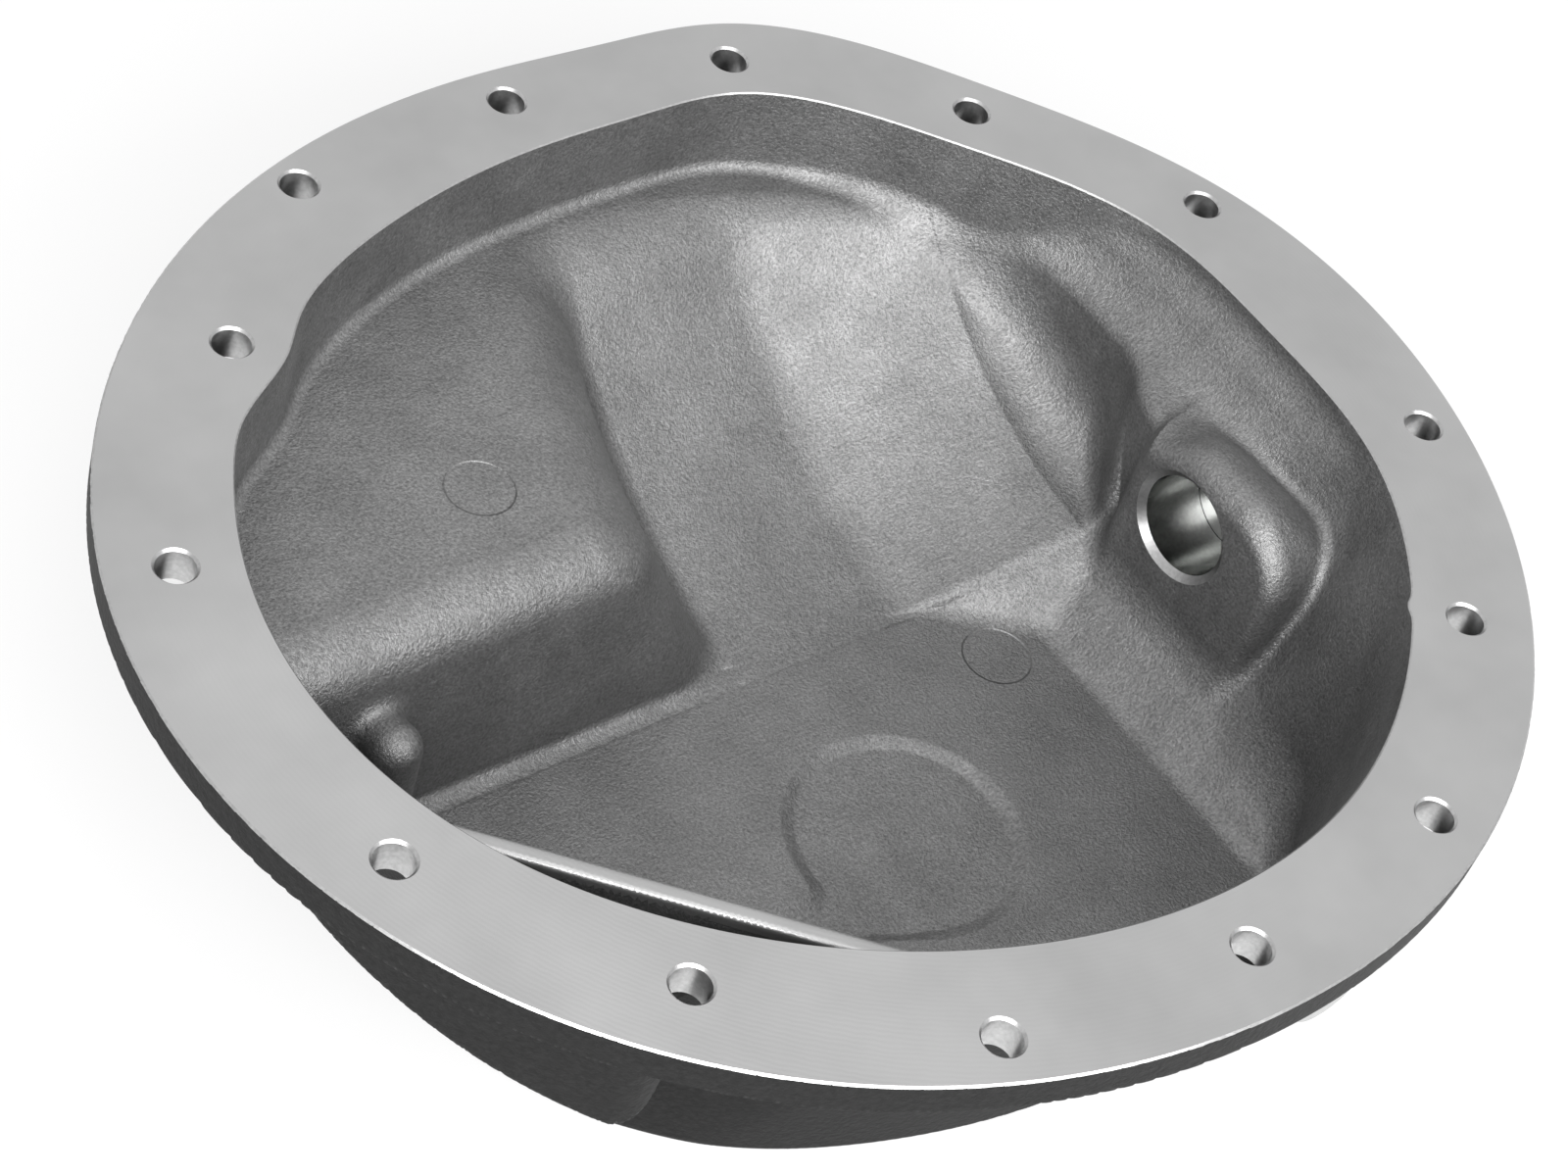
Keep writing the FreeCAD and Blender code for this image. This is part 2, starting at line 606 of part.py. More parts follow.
os.makedirs("parts", exist_ok=True)
for label, thing in PARTS.items():
    thing.Shape.exportStep(f"parts/{label}.step")
    box = thing.Shape.optimalBoundingBox()
    print(label, "volume", round(thing.Shape.Volume), "box", [round(v, 1) for v in (
        box.XMin, box.YMin, box.ZMin, box.XMax, box.YMax, box.ZMax)])
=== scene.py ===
"""Looks of the cast differential cover, built round its fixed frame.

The casting is made the way the foundry and the machine shop make it: a rough blank
with filleted walls, then the flange face is milled and the bores are drilled.
Lengths are millimetres until a mesh is written, and MM turns them into metres.
"""
import math

import bmesh
import bpy
import numpy as np
import openvdb
from mathutils import Matrix, Vector


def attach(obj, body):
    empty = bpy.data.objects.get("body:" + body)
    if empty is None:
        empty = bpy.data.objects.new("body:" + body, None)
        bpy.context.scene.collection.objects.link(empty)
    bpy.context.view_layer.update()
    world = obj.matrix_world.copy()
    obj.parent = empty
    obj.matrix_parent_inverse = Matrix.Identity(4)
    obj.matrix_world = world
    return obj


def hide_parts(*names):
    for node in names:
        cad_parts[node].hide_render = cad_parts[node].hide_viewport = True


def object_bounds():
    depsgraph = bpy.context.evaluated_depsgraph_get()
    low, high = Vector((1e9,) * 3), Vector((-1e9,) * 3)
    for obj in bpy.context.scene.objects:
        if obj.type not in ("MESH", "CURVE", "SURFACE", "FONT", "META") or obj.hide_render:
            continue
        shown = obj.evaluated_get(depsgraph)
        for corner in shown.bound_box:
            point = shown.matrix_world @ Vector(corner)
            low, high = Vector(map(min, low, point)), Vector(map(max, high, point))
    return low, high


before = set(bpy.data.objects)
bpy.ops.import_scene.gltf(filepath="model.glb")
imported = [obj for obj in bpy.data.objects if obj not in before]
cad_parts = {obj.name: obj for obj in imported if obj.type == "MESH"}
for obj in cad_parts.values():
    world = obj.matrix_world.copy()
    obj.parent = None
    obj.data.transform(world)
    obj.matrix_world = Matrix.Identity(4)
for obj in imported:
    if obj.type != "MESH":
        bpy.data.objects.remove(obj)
CAD_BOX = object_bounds()

MM = 0.001

# The finishes of the casting, as numbers of its material slots
CAST, MILLED, EDGE, BORED, COATED = range(5)

# The photograph's camera, in the cover's own frame
CAMERA_PLACE = (-448.04, -349.85, 539.14)
CAMERA_LOOKS = (0.5487, 0.4387, -0.7117)
CAMERA_UP = (0.3105, 0.6835, 0.6606)
CAMERA_LENS = 79.98
CAMERA_SENSOR = 36.0
CAMERA_FAR_END = 20.0

# The studio in metres and watts: each lamp's name, place and power
LAMPS = [
    ("lamp_over", (0.0, 0.0, 1.3), 3.2),
    ("lamp_left", (-0.78, -0.78, 0.69), 19),
    ("lamp_front", (0.0, -1.1, 0.69), 12),
]
LAMP_SIZE = 0.8
WORLD_LEVEL = 0.55
FLOOR_HALF = 6.0
FLOOR_GLOW = 0.75

# Bolts round the flange from the right: across, up, metal outside, land inside, draft of the wall
BOLTS = [
    (149.25, 42.25, 10.7, 18.4, 5.0),
    (113.0, 94.0, 12.9, 14.7, 4.0),
    (63.5, 133.5, 14.7, 12.8, 4.0),
    (0.0, 140.75, 11.65, 16.95, 4.0),
    (-63.5, 133.5, 8.7, 22.5, 4.0),
    (-104.75, 94.5, 22.4, 12.4, 4.0),
    (-149.25, 42.25, 16.2, 14.5, 6.0),
    (-149.25, -42.25, 16.0, 15.1, 22.0),
    (-113.0, -94.0, 18.3, 14.9, 14.0),
    (-63.5, -133.5, 11.3, 21.5, 14.0),
    (0.0, -140.75, 16.25, 13.95, 14.0),
    (63.5, -133.5, 12.6, 17.1, 8.5),
    (113.0, -94.0, 17.0, 13.1, 8.5),
    (149.25, -42.25, 11.5, 18.8, 8.5),
]

# More points of the rim, the opening and the wall's foot, and the notch in the opening
RIM_EXTRA = [(37.6, 150.8)]
OPENING_EXTRA = [
    (134.0, 0.0), (31.0, 124.3), (81.0, 107.5), (-73.5, 104.9), (-86.3, 95.9), (-115.5, 72.2),
    (-124.3, 60.6),
]
NOTCH_ANGLE = math.radians(320.6)
NOTCH_WIDTH = math.radians(1.3)
NOTCH_DEPTH = 1.1
FOOT_EXTRA = [(96.0, -75.0), (91.5, -92.0), (-117.5, 0.0), (-121.5, 15.0)]

# Bolt holes and the drill that makes them
BOLT_HOLE = 9.0
HOLE_CHAMFER = 0.6
SPOT_FACE = 17.0
SPOT_FACE_RUN = 60.0
DRILL_RUN = 1.0
DRILL_SIDES = 64

# Flange and wall, and the cutter that mills the face
FLANGE_THICKNESS = 9.0
RIM_SETBACK = 0.3
RIM_CHAMFER = 0.5
OPENING_CHAMFER = 0.3
MILL_OVERLAP = 2.0
MILL_CLEARANCE = 3.0
MILL_HEIGHT = 4.0
WALL = 6.5

# Upper part of the hollow, with the bar and the pillar at the left
MOUTH_DEPTH = 10.0
TRAY_DEPTH = 24.0
SLOPE = [(132.0, -10.0), (127.5, -18.0), (118.5, -24.0)]
CHORD_ANGLE = math.radians(224.2)
CHORD_REACH = 114.5
CHORD_WALL = 9.0
BAR_WIDTH = 5.2
POCKET_DEPTH = 26.0
PILLAR = (-106.4, 11.0, -41.5)
PILLAR_RADIUS = 6.5

# The hump that clears the ring gear, turned about a line above the flange
GEAR_AXIS = 49.7
GEAR_PROFILE = [(-36.0, 73.7), (-2.4, 130.5), (52.6, 130.5), (101.0, 112.2)]
GEAR_END_X = 118.0
HUMP_LOW_Y = 10.0
CORNER_LOW = (101.0, -1.5)
CORNER_HIGH = (118.0, 22.0)

# The sump; the draft of the wall runs on to DRAFT_LIMIT times its depth
FLOOR_DEPTH = 80.0
DRAFT_LIMIT = 1.1
FLOOR_EDGE_X = 83.7
FLOOR_TOP_Y = 14.6
SHOULDER_TOP_Y = 20.8
SIDE_WALL_X = 105.0
SIDE_TOP_X = 133.0
STRIP_TOP_DEPTH = 61.5
BROW_LEFT_X = 31.0
BROW_LEAN = (0.0, -0.4, -1.0)
FACET = [(83.7, -9.0, -80.0), (60.0, 9.0, -80.0), (101.0, 1.0, -62.5)]

# The comma-shaped mark in the sump floor
MARK_HEAD = (9.0, -44.5)
MARK_HEAD_RADIUS = 28.7
MARK_TAIL = ((-8.0, -59.0), (-60.0, -53.0))
MARK_TAIL_RADIUS = 6.5
MARK_DEPTH = 1.4
MARK_EDGE = 3.6

# Round pin marks of the core, and the grain of the sand
PIN_MARKS = [((-61.5, 52.0), 8.4), ((66.5, -10.0), 9.0)]
PIN_MARK_DEPTH = 0.5
PIN_MARK_EDGE = 0.3
GRAIN_SCALE = 1300

# The fill boss and its bore
FILL_AXIS = (-21.2, -36.4)
FILL_FACE_X = 101.0
FILL_SEAT_X = 132.0
FILL_BORE = 26.0
FILL_MOUTH = 29.8
FILL_MOUTH_DEPTH = 1.6
FILL_DRILL_BEFORE = 4.0
FILL_DRILL_BEYOND = 5.0
FILL_DRILL_SIDES = 128
FILL_BOSS_RADIUS = 24.0
BOSS_Y = (-53.0, -1.5)
BOSS_CROWN_DEPTH = 16.0
BOSS_CROWN_X = 122.5
BOSS_BACK = (0.72, 0.0, 0.69)
GUTTER = ((119.0, -8.0, 0.0), (133.0, -55.0, 0.0))

# The drain boss and its bore
DRAIN_AXIS = (30.0, -26.0)
DRAIN_SEAT_Y = -140.0
DRAIN_BORE = 14.0
DRAIN_BOSS_RADIUS = 13.0
DRAIN_BOSS_LENGTH = WALL * 4
DRAIN_DRILL_BEFORE = 5.0
DRAIN_DRILL_LENGTH = WALL * 5

# The skirt under the flange at the lower left
SKIRT_INSET = 2.5
SKIRT_LOW = (-129.0, -100.0, -32.2)
SKIRT_SLANT = (0.298, 0.472, -1.0)
SKIRT_END_ANGLE = math.radians(220.0)
SKIRT_END_FILLET = 8.0
SKIRT_TOP_DEPTH = 1.0

# Fillets of the casting
RIM_FILLET = 3.0
RIGHT_RIM_FILLET = 9.0
FOOT_FILLET = 4.0
SHOULDER_ROLL = 13.0
RIGHT_ROLL = 4.0
PAD_CORNER = 12.0
LEDGE_ROLL = 2.5
BROW_ROLL = 5.0
CREASE_FILLET = 1.5
END_FILLET = 17.0
SLOPE_FILLET = 6.0
STRIP_FILLET = 2.0
BOSS_ROLL = 20.0
BOSS_BASE_ROLL = 12.0
BOSS_EDGE = 7.0
BOSS_FILLET = 5.0
OUTSIDE_FILLET = 4.0
OUTSIDE_SHARPNESS = 0.3
BACK_EDGE = 2.0
BOSS_SIDE_EDGE = 1.0
ROUND_BOSS_EDGE = 1.0
SKIRT_EDGE = 1.5
SKIRT_FILLET = 1.5
FLANGE_EDGE = 0.6
FLANGE_FILLET = 2.0

# Where a fillet changes along the way across the cover
ROLL_SPAN = (0.0, 80.0)
RIM_FILLET_SPAN = (70.0, 110.0)
BROW_SPAN = 60.0
BROW_START = 0.7
UNDER_BROW_SPAN = 10.0
UNDER_PAD_SPAN = 20.0
UNDER_PAD_START = 0.5

# The blank before machining, and how finely it is meshed
VOXEL = 1.0
BAND_VOXELS = 3
FLATNESS = 0.014
TOWARDS_MIDDLE = 0.3
BEND_LIMIT = math.cos(math.radians(5.0))
SHORTEST_SPLIT = 1.3
SPLIT_ROUNDS = 2
SETTLE_ROUNDS = 2
SETTLE_REACH = 0.4
LEAST_SLOPE = 0.25
NO_SLOPE = 1e-9
SLOPE_STEP = 0.35
CURVE_POINTS = 2881
RING_POINTS = 1440
STOCK = 1.5
BLANK_LOW = (-176.0, -160.0, -91.0)
BLANK_HIGH = (173.0, 156.0, 4.0)

# How a face of the mesh is told to be milled, an edge or a bore
SKIN = WALL / 3
LEVEL_WITHIN = 0.02
EDGE_WITHIN = 0.1
BORE_WITHIN = 0.05
# How far the band along the bar's top, which gets the milled finish as a painted highlight, is
# widened
BAR_HIGHLIGHT_WITHIN = 0.5
LEVEL_NORMAL = 0.99
EDGE_NORMAL = 0.4
LEAST_AGREEMENT = 0.5


def filleted_common(a, b, radius):
    """What two distance fields share, with the corner rounded."""
    u, v = np.maximum(radius + a, 0), np.maximum(radius + b, 0)
    return np.minimum(-radius, np.maximum(a, b)) + np.hypot(u, v)


def filleted_join(a, b, radius):
    """Two distance fields together, with the corner rounded."""
    return -filleted_common(-a, -b, radius)


def around(points):
    """A smooth closed curve through points, as angles and radii."""
    angle = np.array([math.atan2(y, x) % math.tau for x, y in points])
    radius = np.array([math.hypot(x, y) for x, y in points])
    order = np.argsort(angle)
    angle, radius = angle[order], radius[order]
    count = len(angle)
    gap = np.diff(np.append(angle, angle[0] + math.tau))
    rise = np.diff(np.append(radius, radius[0])) / gap
    matrix = np.zeros((count, count))
    for i in range(count):
        matrix[i, i - 1] = gap[i - 1]
        matrix[i, i] = 2 * (gap[i - 1] + gap[i])
        matrix[i, (i + 1) % count] = gap[i]
    bend = np.linalg.solve(matrix, 6 * (rise - np.roll(rise, 1)))
    fine = np.linspace(0, math.tau, CURVE_POINTS)
    at = np.clip(np.searchsorted(angle, fine, side="right") - 1, -1, count - 1)
    start = np.where(at < 0, angle[-1] - math.tau, angle[at])
    step = fine - start
    span = gap[at]
    left, right = radius[at], np.roll(radius, -1)[at]
    bend_left, bend_right = bend[at], np.roll(bend, -1)[at]
    slope = (right - left) / span - span * (2 * bend_left + bend_right) / 6
    curve = left + slope * step + bend_left * step**2 / 2
    curve = curve + (bend_right - bend_left) * step**3 / (6 * span)
    return fine, curve


def moved(bolt, distance):
    """The bolt's place moved straight away from the middle."""
    scale = 1 + distance / math.hypot(bolt[0], bolt[1])
    return bolt[0] * scale, bolt[1] * scale


RIM = around([moved(b, b[2]) for b in BOLTS] + RIM_EXTRA)
RIM[1][:] -= RIM_SETBACK
OPENING = around([moved(b, -b[3]) for b in BOLTS] + OPENING_EXTRA)
OPENING[1][:] -= NOTCH_DEPTH * np.exp(-(((OPENING[0] - NOTCH_ANGLE) / NOTCH_WIDTH) ** 2))
FOOT = around([moved(b, -b[3] - b[4]) for b in BOLTS] + FOOT_EXTRA)


def outline_distance(x, y, curve, inset=0.0):
    """Distance outside a closed curve drawn round the middle."""
    angle = np.arctan2(y, x) % math.tau
    fine, radius = curve
    slope = np.gradient(radius, fine) / radius
    lean = np.interp(angle, fine, 1 / np.sqrt(1 + slope**2))
    return (np.hypot(x, y) - np.interp(angle, fine, radius) + inset) * lean


def plane(x, y, z, point, normal):
    """Distance in front of a plane."""
    n = Vector(normal).normalized()
    return (x - point[0]) * n[0] + (y - point[1]) * n[1] + (z - point[2]) * n[2]


def hollow_wall(x, y, z):
    """The drafted wall all round the hollow."""
    top = outline_distance(x, y, OPENING)
    foot = outline_distance(x, y, FOOT)
    share = np.clip(-z / FLOOR_DEPTH, 0, DRAFT_LIMIT)
    return top + (foot - top) * share


def tray(x, y, z):
    """The flat upper tray with its slope on the right."""
    body = -z - TRAY_DEPTH
    for (x0, z0), (x1, z1) in zip(SLOPE, SLOPE[1:]):
        slope = plane(x, y, z, (x0, 0, z0), (z0 - z1, 0, x1 - x0))
        body = filleted_common(body, slope, SLOPE_FILLET)
    return body


def hump(x, y, z):
    """The turned hollow that clears the ring gear, open towards the pad."""
    reach = np.hypot(y, z - GEAR_AXIS)
    (x0, r0), (x1, r1) = GEAR_PROFILE[2:]
    cone = ((x - x0) * (r0 - r1) + (reach - r0) * (x1 - x0)) / math.hypot(x1 - x0, r1 - r0)
    body = filleted_common(reach - r0, cone, CREASE_FILLET)
    end = filleted_common(reach - r1, x - GEAR_END_X, END_FILLET)
    body = np.minimum(np.maximum(body, x - x1), end)
    across = (CORNER_HIGH[1] - CORNER_LOW[1], CORNER_LOW[0] - CORNER_HIGH[0], 0)
    corner = plane(x, y, z, (CORNER_LOW[0], CORNER_LOW[1], 0), across)
    body = filleted_common(body, corner, FOOT_FILLET)
    under_brow = BROW_ROLL * np.clip((x - FACET[1][0]) / UNDER_BROW_SPAN, 0, 1)
    return np.maximum(body, np.minimum(HUMP_LOW_Y - y, -brow(x, y, z) - under_brow))


def brow(x, y, z):
    """The short leaning wall between the facet and the cone above it."""
    low, high = Vector(FACET[1]), Vector(FACET[2])
    return plane(x, y, z, low, (high - low).cross(Vector(BROW_LEAN)))


def pad_side(x, y, z):
    """The walls that the pad at the left leaves, with its big rounded corner."""
    reach = np.hypot(y, z - GEAR_AXIS)
    (x0, r0), (x1, r1) = GEAR_PROFILE[:2]
    flank = ((x - x0) * (r0 - r1) + (reach - r0) * (x1 - x0)) / math.hypot(x1 - x0, r1 - r0)
    return filleted_join(flank, sump_top(x, y, z), PAD_CORNER)


def sump_top(x, y, z):
    """The leaning wall along the upper side of the sump."""
    lean = SHOULDER_TOP_Y - FLOOR_TOP_Y
    return plane(x, y, z, (0, FLOOR_TOP_Y, -FLOOR_DEPTH), (0, FLOOR_DEPTH - TRAY_DEPTH, -lean))


def floor_mark(x, y):
    """Distance outside the comma-shaped mark in the sump floor."""
    head = np.hypot(x - MARK_HEAD[0], y - MARK_HEAD[1]) - MARK_HEAD_RADIUS
    (x0, y0), (x1, y1) = MARK_TAIL
    share = ((x - x0) * (x1 - x0) + (y - y0) * (y1 - y0)) / ((x1 - x0) ** 2 + (y1 - y0) ** 2)
    share = np.clip(share, 0, 1)
    tail = np.hypot(x - x0 - share * (x1 - x0), y - y0 - share * (y1 - y0)) - MARK_TAIL_RADIUS
    return filleted_join(head, tail, MARK_TAIL_RADIUS)


def sump(x, y, z, grow=0.0):
    """The deep flat-floored part below the hump, all its sides moved out by grow."""
    sunk = MARK_DEPTH * np.clip(0.5 - floor_mark(x, y) / MARK_EDGE, 0, 1)
    floor = -z - FLOOR_DEPTH - sunk
    strip_run = SIDE_WALL_X - FLOOR_EDGE_X
    strip_rise = FLOOR_DEPTH - STRIP_TOP_DEPTH
    strip = plane(x, y, z, (FLOOR_EDGE_X, 0, -FLOOR_DEPTH), (strip_rise, 0, -strip_run))
    low, high, far = (Vector(p) for p in FACET)
    facet = plane(x, y, z, low, (far - high).cross(low - high))
    body = filleted_common(floor - grow, strip - grow, STRIP_FILLET)
    body = filleted_common(body, facet - grow, STRIP_FILLET)
    side_run, side_rise = SIDE_TOP_X - SIDE_WALL_X, STRIP_TOP_DEPTH - MOUTH_DEPTH
    side = plane(x, y, z, (SIDE_WALL_X, 0, -STRIP_TOP_DEPTH), (side_rise, 0, -side_run))
    body = filleted_common(body, side - grow, FOOT_FILLET)
    near, far_end = (Vector(p) for p in GUTTER)
    gutter = plane(x, y, z, near, (near.y - far_end.y, far_end.x - near.x, 0))
    body = filleted_common(body, gutter - grow, FOOT_FILLET)
    under_pad = FOOT_FILLET * np.clip(UNDER_PAD_START - x / UNDER_PAD_SPAN, 0, 1)
    body = np.maximum(body, sump_top(x, y, z) - under_pad - grow)
    behind_boss = np.minimum(x - FILL_FACE_X - BOSS_EDGE, y - BOSS_Y[1] + BOSS_EDGE)
    body = np.maximum(body, behind_boss)
    return np.where(x > BROW_LEFT_X, np.maximum(body, brow(x, y, z) - grow), body)


def boss(x, y, z):
    """The rounded pad round the fill bore, as solid metal."""
    body = filleted_common(y - BOSS_Y[1], BOSS_Y[0] - y, BOSS_SIDE_EDGE)
    base = filleted_common(BOSS_Y[0] - y, z + TRAY_DEPTH, BOSS_BASE_ROLL)
    base = np.maximum(base, y - BOSS_Y[1])
    crown = filleted_common(body, z + BOSS_CROWN_DEPTH, BOSS_ROLL)
    back = plane(x, y, z, (BOSS_CROWN_X, 0, -TRAY_DEPTH), BOSS_BACK)
    crown = filleted_common(crown, back, BOSS_FILLET)
    body = filleted_join(base, crown, BOSS_FILLET)
    return filleted_common(body, FILL_FACE_X - x, BOSS_EDGE)


def chord_wall(x, y, z):
    """The straight wall across the lower left, whose top is the bar."""
    outward = (math.cos(CHORD_ANGLE), math.sin(CHORD_ANGLE), 0)
    return plane(x, y, z, [c * CHORD_REACH for c in outward], outward)


def deep_back(x, y, z):
    """The outside of the deep part, with a firm edge round its flat back."""
    chord = chord_wall(x, y, z) - CHORD_WALL
    side = filleted_common(hollow_wall(x, y, z) - WALL, chord, BACK_EDGE)
    return filleted_common(sump(x, y, z, WALL), side, BACK_EDGE)


def pillar(x, y, z):
    """The round-topped pillar against the pad's wall at the left."""
    above = np.maximum(z - PILLAR[2] + PILLAR_RADIUS, 0)
    return np.sqrt((x - PILLAR[0]) ** 2 + (y - PILLAR[1]) ** 2 + above**2) - PILLAR_RADIUS


def hollow(x, y, z, share=1.0):
    """Distance outside the hollow of the cover, its fillets at a share of their size."""
    brow_roll = BROW_ROLL * np.clip(x / BROW_SPAN - BROW_START, 0, 1)
    deep = filleted_join(hump(x, y, z), sump(x, y, z), brow_roll)
    deep = filleted_common(deep, pad_side(x, y, z), FOOT_FILLET * share)
    roll = np.interp(x, ROLL_SPAN, (SHOULDER_ROLL, RIGHT_ROLL)) * share
    body = filleted_join(tray(x, y, z), deep, roll)
    chord = chord_wall(x, y, z)
    body = filleted_common(body, chord, FOOT_FILLET * share)
    body = filleted_join(body, -z - MOUTH_DEPTH, LEDGE_ROLL * share)
    pocket = np.maximum(BAR_WIDTH - chord, -z - POCKET_DEPTH)
    body = filleted_join(body, pocket, LEDGE_ROLL / 2 * share)
    rim_fillet = np.interp(x, RIM_FILLET_SPAN, (RIM_FILLET, RIGHT_RIM_FILLET)) * share
    body = filleted_common(body, hollow_wall(x, y, z), rim_fillet)
    body = filleted_common(body, -pillar(x, y, z), PILLAR_RADIUS * share)
    return filleted_common(body, -boss(x, y, z), BOSS_FILLET * share)


def round_boss(x, y, z, start, along, radius, length):
    """A round boss from a point along an axis."""
    n = Vector(along).normalized()
    dx, dy, dz = x - start[0], y - start[1], z - start[2]
    t = dx * n[0] + dy * n[1] + dz * n[2]
    away = np.sqrt(np.maximum(dx**2 + dy**2 + dz**2 - t**2, 0)) - radius
    return filleted_common(away, np.maximum(-t, t - length), ROUND_BOSS_EDGE)


def skirt(x, y, z):
    """The skirt under the flange at the lower left."""
    body = outline_distance(x, y, RIM, SKIRT_INSET)
    body = filleted_common(body, plane(x, y, z, SKIRT_LOW, SKIRT_SLANT), SKIRT_EDGE)
    sideways = (-math.sin(SKIRT_END_ANGLE), math.cos(SKIRT_END_ANGLE), 0)
    return filleted_common(body, plane(x, y, z, (0, 0, 0), sideways), SKIRT_END_FILLET)


def blank(x, y, z):
    """Distance outside the metal of the casting, before machining."""
    room = hollow(x, y, z)
    shell = np.minimum(room, hollow(x, y, z, OUTSIDE_SHARPNESS)) - WALL
    shell = np.minimum(shell, deep_back(x, y, z))
    shell = np.maximum(shell, np.maximum(z - STOCK, -z - FLOOR_DEPTH - WALL))
    plate = np.maximum(-z - FLANGE_THICKNESS, z - STOCK)
    flange = filleted_common(outline_distance(x, y, RIM), plate, FLANGE_EDGE)
    body = filleted_join(shell, flange, FLANGE_FILLET)
    body = filleted_join(body, np.maximum(skirt(x, y, z), z + SKIRT_TOP_DEPTH), SKIRT_FILLET)
    fill_start = (SIDE_WALL_X + WALL / 2, FILL_AXIS[0], FILL_AXIS[1])
    fill_length = FILL_SEAT_X - fill_start[0]
    fill = round_boss(x, y, z, fill_start, (1, 0, 0), FILL_BOSS_RADIUS, fill_length)
    drain_start = (DRAIN_AXIS[0], DRAIN_SEAT_Y, DRAIN_AXIS[1])
    drain = round_boss(x, y, z, drain_start, (0, 1, 0), DRAIN_BOSS_RADIUS, DRAIN_BOSS_LENGTH)
    body = filleted_join(body, fill, OUTSIDE_FILLET)
    body = filleted_join(body, drain, OUTSIDE_FILLET)
    return np.maximum(body, -room)


def steepest(field, places, reach=SLOPE_STEP):
    """The field's slope at each place, by small steps either way."""
    x, y, z = places.T
    return np.stack([
        field(x + reach, y, z) - field(x - reach, y, z),
        field(x, y + reach, z) - field(x, y - reach, z),
        field(x, y, z + reach) - field(x, y, z - reach),
    ], axis=1) / (2 * reach)


def settled(field, places):
    """The places moved in small steps onto the surface where the field is zero."""
    for _ in range(SETTLE_ROUNDS):
        slope = steepest(field, places)
        size = np.maximum(np.sum(slope**2, axis=1), LEAST_SLOPE)
        away = np.clip(field(*places.T) / size, -SETTLE_REACH, SETTLE_REACH)
        places = places - slope * away[:, None]
    return places


def field_mesh(name, field, low, high, step):
    """A closed mesh where a distance field is zero."""
    axes = [np.arange(a, b + step, step, dtype=np.float32) for a, b in zip(low, high)]
    x, y, z = np.meshgrid(*axes, indexing="ij", sparse=True)
    values = field(x, y, z).astype(np.float32)
    band = BAND_VOXELS * step
    grid = openvdb.FloatGrid(band)
    grid.copyFromArray(np.clip(values, -band, band), tolerance=0.0)
    points, triangles, quads = grid.convertToPolygons(isovalue=0.0, adaptivity=FLATNESS)
    places = settled(field, points * step + np.array(low)) * MM
    mesh = bpy.data.meshes.new(name)
    mesh.from_pydata(places.tolist(), [], quads.tolist() + triangles.tolist())
    for _ in range(SPLIT_ROUNDS):
        split_where_bent(mesh, field)
    thing = bpy.data.objects.new(name, mesh)
    bpy.context.collection.objects.link(thing)
    return thing


def directions(field, places):
    """The field's slope at each place, at length one."""
    slope = steepest(field, places)
    return slope / np.maximum(np.linalg.norm(slope, axis=1, keepdims=True), NO_SLOPE)


def split_where_bent(mesh, field):
    """Halves the long edges of inside faces across which the surface turns."""
    shape = bmesh.new()
    shape.from_mesh(mesh)
    shape.verts.ensure_lookup_table()
    places = np.array([v.co for v in shape.verts]) / MM
    faces = [f for f in shape.faces if f.calc_center_median().z > -(FLOOR_DEPTH + WALL / 2) * MM]
    centres = np.array([f.calc_center_median() for f in faces]) / MM
    inside = np.abs(hollow(*centres.T)) < SKIN
    faces = [f for f, is_inside in zip(faces, inside) if is_inside]
    middle = directions(field, centres[inside])
    sizes = [len(f.verts) for f in faces]
    corner = np.array([v.index for f in faces for v in f.verts])
    turn = np.sum(directions(field, places)[corner] * np.repeat(middle, sizes, axis=0), axis=1)
    bent = np.minimum.reduceat(turn, np.cumsum([0] + sizes[:-1])) < BEND_LIMIT
    bent_edges = {e.index for f, is_bent in zip(faces, bent) if is_bent for e in f.edges}
    shape.edges.ensure_lookup_table()
    edges = [shape.edges[i] for i in sorted(bent_edges)]
    long_edges = [e for e in edges if e.calc_length() > SHORTEST_SPLIT * MM]
    before = len(shape.verts)
    bmesh.ops.subdivide_edges(shape, edges=long_edges, cuts=1, use_grid_fill=True)
    bmesh.ops.triangulate(shape, faces=[f for f in shape.faces if len(f.verts) > 4])
    shape.verts.ensure_lookup_table()
    added = shape.verts[before:]
    places = settled(field, np.array([v.co for v in added]) / MM) * MM
    for vertex, place in zip(added, places.tolist()):
        vertex.co = place
    shape.to_mesh(mesh)
    shape.free()


def ring_solid(name, rings):
    """A closed solid from rings of points, each as many points as the next, capped at both ends."""
    count = len(rings[0])
    vertices = [tuple(c * MM for c in p) for ring in rings for p in ring]
    faces = [tuple(reversed(range(count)))]
    for k in range(len(rings) - 1):
        for i in range(count):
            j = (i + 1) % count
            faces.append((k * count + i, k * count + j, (k + 1) * count + j, (k + 1) * count + i))
    faces.append(tuple(range((len(rings) - 1) * count, len(rings) * count)))
    mesh = bpy.data.meshes.new(name)
    mesh.from_pydata(vertices, [], faces)
    thing = bpy.data.objects.new(name, mesh)
    bpy.context.collection.objects.link(thing)
    return thing


def turned_solid(name, start, along, profile, segments=DRILL_SIDES):
    """A closed solid turned about an axis: profile is (distance along, radius) pairs."""
    turn = Vector((0, 0, 1)).rotation_difference(Vector(along)).to_matrix()
    rings = []
    for distance, radius in profile:
        ring = []
        for i in range(segments):
            angle = math.tau * i / segments
            local = Vector((radius * math.cos(angle), radius * math.sin(angle), distance))
            ring.append(tuple(Vector(start) + turn @ local))
        rings.append(ring)
    return ring_solid(name, rings)


